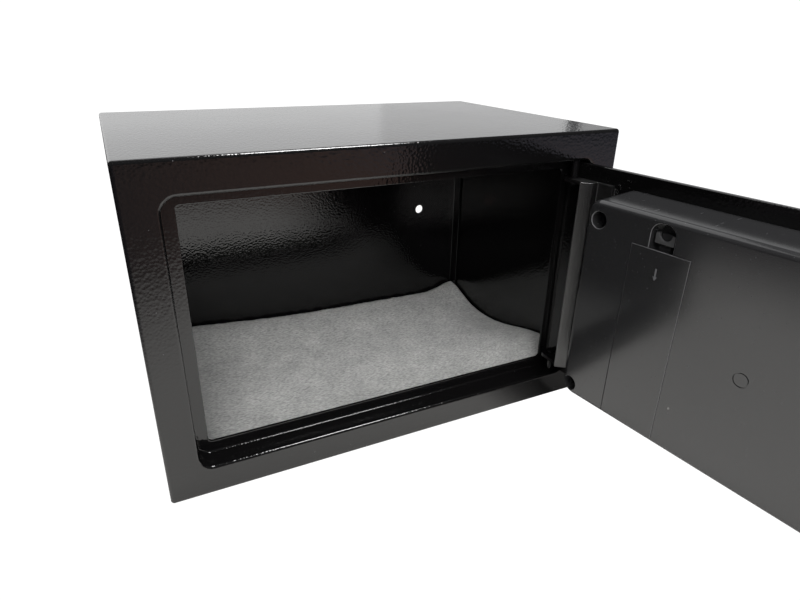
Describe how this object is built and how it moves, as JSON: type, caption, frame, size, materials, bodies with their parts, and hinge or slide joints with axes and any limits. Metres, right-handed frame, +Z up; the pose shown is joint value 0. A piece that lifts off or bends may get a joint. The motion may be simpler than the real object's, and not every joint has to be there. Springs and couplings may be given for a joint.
{
  "type": "office safe",
  "caption": "Compact steel office safe with an electronic lock, shown with its hinged door open: felt-lined cavity, moulded inner door cover and sliding battery lid.",
  "frame": {"origin": "centre of the flat base, under the steel body", "axes": "+Z up, +Y from the door opening towards the back panel, +X towards the hinge side"},
  "size_m": [0.3405, 0.4521, 0.2],
  "materials": {
    "powder_coat": "semi-gloss hammered powder coat",
    "felt": "heathered grey needle felt",
    "cover_plastic": "smooth satin moulding",
    "black_plastic": "fine textured moulding",
    "zinc_steel": "bright zinc plate",
    "copper_winding": "enamelled copper winding",
    "circuit_board": "green solder mask",
    "cell_wrap": "plain printed sleeve",
    "wire_sleeve": "soft wire insulation",
    "button_plastic": "satin keys with plain digits",
    "lamp_green": "clear tinted lens",
    "lamp_yellow": "clear tinted lens",
    "lamp_red": "clear tinted lens"
  },
  "bodies": {
    "safe_body": {"body_shell": "powder_coat", "door_frame": "powder_coat", "back_panel": "powder_coat", "floor_mat": "felt"},
    "door": {"door_plate": "powder_coat", "hinge_bracket": "powder_coat", "hinge_pin_top": "powder_coat", "hinge_pin_bottom": "powder_coat", "inner_cover": "cover_plastic", "battery_contact_top": "zinc_steel", "battery_contact_bottom": "zinc_steel", "bolt_guide": "zinc_steel", "guide_stud_upper": "zinc_steel", "guide_stud_lower": "zinc_steel", "spindle_bushing": "zinc_steel", "key_cylinder": "zinc_steel", "key_cylinder_nut": "zinc_steel", "solenoid_frame": "zinc_steel", "solenoid_coil": "copper_winding", "plunger_spring": "zinc_steel", "keypad_housing": "black_plastic", "circuit_board": "circuit_board", "battery_lead": "wire_sleeve", "solenoid_lead": "wire_sleeve", "cover_screw_1": "zinc_steel", "cover_screw_2": "zinc_steel", "cover_screw_3": "zinc_steel", "cover_screw_4": "zinc_steel", "battery_cell_1": "cell_wrap", "battery_cell_2": "cell_wrap", "battery_cell_3": "cell_wrap", "battery_cell_4": "cell_wrap", "lamp_green": "lamp_green", "lamp_yellow": "lamp_yellow", "lamp_red": "lamp_red"},
    "bolt_work": {"bolt_carriage": "zinc_steel", "lock_bolt_upper": "zinc_steel", "lock_bolt_lower": "zinc_steel"},
    "knob": {"door_knob": "black_plastic", "knob_spindle": "zinc_steel"},
    "key": {"key_plug": "zinc_steel"},
    "shutter": {"keyhole_shutter": "black_plastic"},
    "plunger": {"solenoid_plunger": "zinc_steel"},
    "battery_lid": {"battery_cover": "cover_plastic"},
    "button_1": {"button_1": "button_plastic"},
    "button_2": {"button_2": "button_plastic"},
    "button_3": {"button_3": "button_plastic"},
    "button_4": {"button_4": "button_plastic"},
    "button_5": {"button_5": "button_plastic"},
    "button_6": {"button_6": "button_plastic"},
    "button_7": {"button_7": "button_plastic"},
    "button_8": {"button_8": "button_plastic"},
    "button_9": {"button_9": "button_plastic"},
    "button_clear": {"button_clear": "button_plastic"},
    "button_0": {"button_0": "button_plastic"},
    "button_enter": {"button_enter": "button_plastic"}
  },
  "joints": [
    {"name": "door_hinge", "type": "hinge", "parent": "safe_body", "child": "door", "pos_m": [0.126, -0.0935, 0.1], "axis": [0, 0, 1], "range_deg": [-96.3, 0]},
    {"name": "bolt_slide", "type": "slide", "parent": "door", "child": "bolt_work", "axis": [0.1097, -0.994, 0], "range_m": [0, 0.018]},
    {"name": "knob_turn", "type": "hinge", "parent": "door", "child": "knob", "pos_m": [0.16587, -0.28327, 0.1], "axis": [0.994, 0.1097, 0], "range_deg": [0, 90]},
    {"name": "key_turn", "type": "hinge", "parent": "door", "child": "key", "pos_m": [0.15906, -0.22165, 0.072], "axis": [-0.994, -0.1097, 0], "range_deg": [0, 90]},
    {"name": "shutter_swing", "type": "hinge", "parent": "door", "child": "shutter", "pos_m": [0.15906, -0.22165, 0.086], "axis": [0.994, 0.1097, 0], "range_deg": [-90, 90]},
    {"name": "plunger_slide", "type": "slide", "parent": "door", "child": "plunger", "axis": [0, 0, 1], "range_m": [0, 0.004], "stiffness_N_per_m": 100, "springref_m": -0.005, "deforming": ["plunger_spring"]},
    {"name": "battery_lid_slide", "type": "slide", "parent": "door", "child": "battery_lid", "axis": [0, 0, -1], "range_m": [0, 0.01]},
    {"name": "press_1", "type": "slide", "parent": "door", "child": "button_1", "axis": [-0.994, -0.1097, 0], "range_m": [0, 0.0008], "stiffness_N_per_m": 800, "springref_m": -0.0004},
    {"name": "press_2", "type": "slide", "parent": "door", "child": "button_2", "axis": [-0.994, -0.1097, 0], "range_m": [0, 0.0008], "stiffness_N_per_m": 800, "springref_m": -0.0004},
    {"name": "press_3", "type": "slide", "parent": "door", "child": "button_3", "axis": [-0.994, -0.1097, 0], "range_m": [0, 0.0008], "stiffness_N_per_m": 800, "springref_m": -0.0004},
    {"name": "press_4", "type": "slide", "parent": "door", "child": "button_4", "axis": [-0.994, -0.1097, 0], "range_m": [0, 0.0008], "stiffness_N_per_m": 800, "springref_m": -0.0004},
    {"name": "press_5", "type": "slide", "parent": "door", "child": "button_5", "axis": [-0.994, -0.1097, 0], "range_m": [0, 0.0008], "stiffness_N_per_m": 800, "springref_m": -0.0004},
    {"name": "press_6", "type": "slide", "parent": "door", "child": "button_6", "axis": [-0.994, -0.1097, 0], "range_m": [0, 0.0008], "stiffness_N_per_m": 800, "springref_m": -0.0004},
    {"name": "press_7", "type": "slide", "parent": "door", "child": "button_7", "axis": [-0.994, -0.1097, 0], "range_m": [0, 0.0008], "stiffness_N_per_m": 800, "springref_m": -0.0004},
    {"name": "press_8", "type": "slide", "parent": "door", "child": "button_8", "axis": [-0.994, -0.1097, 0], "range_m": [0, 0.0008], "stiffness_N_per_m": 800, "springref_m": -0.0004},
    {"name": "press_9", "type": "slide", "parent": "door", "child": "button_9", "axis": [-0.994, -0.1097, 0], "range_m": [0, 0.0008], "stiffness_N_per_m": 800, "springref_m": -0.0004},
    {"name": "press_clear", "type": "slide", "parent": "door", "child": "button_clear", "axis": [-0.994, -0.1097, 0], "range_m": [0, 0.0008], "stiffness_N_per_m": 800, "springref_m": -0.0004},
    {"name": "press_0", "type": "slide", "parent": "door", "child": "button_0", "axis": [-0.994, -0.1097, 0], "range_m": [0, 0.0008], "stiffness_N_per_m": 800, "springref_m": -0.0004},
    {"name": "press_enter", "type": "slide", "parent": "door", "child": "button_enter", "axis": [-0.994, -0.1097, 0], "range_m": [0, 0.0008], "stiffness_N_per_m": 800, "springref_m": -0.0004}
  ],
  "couplings": [
    {"joint": "knob_turn", "follows": "bolt_slide", "rad_per_m": 87.26}
  ]
}
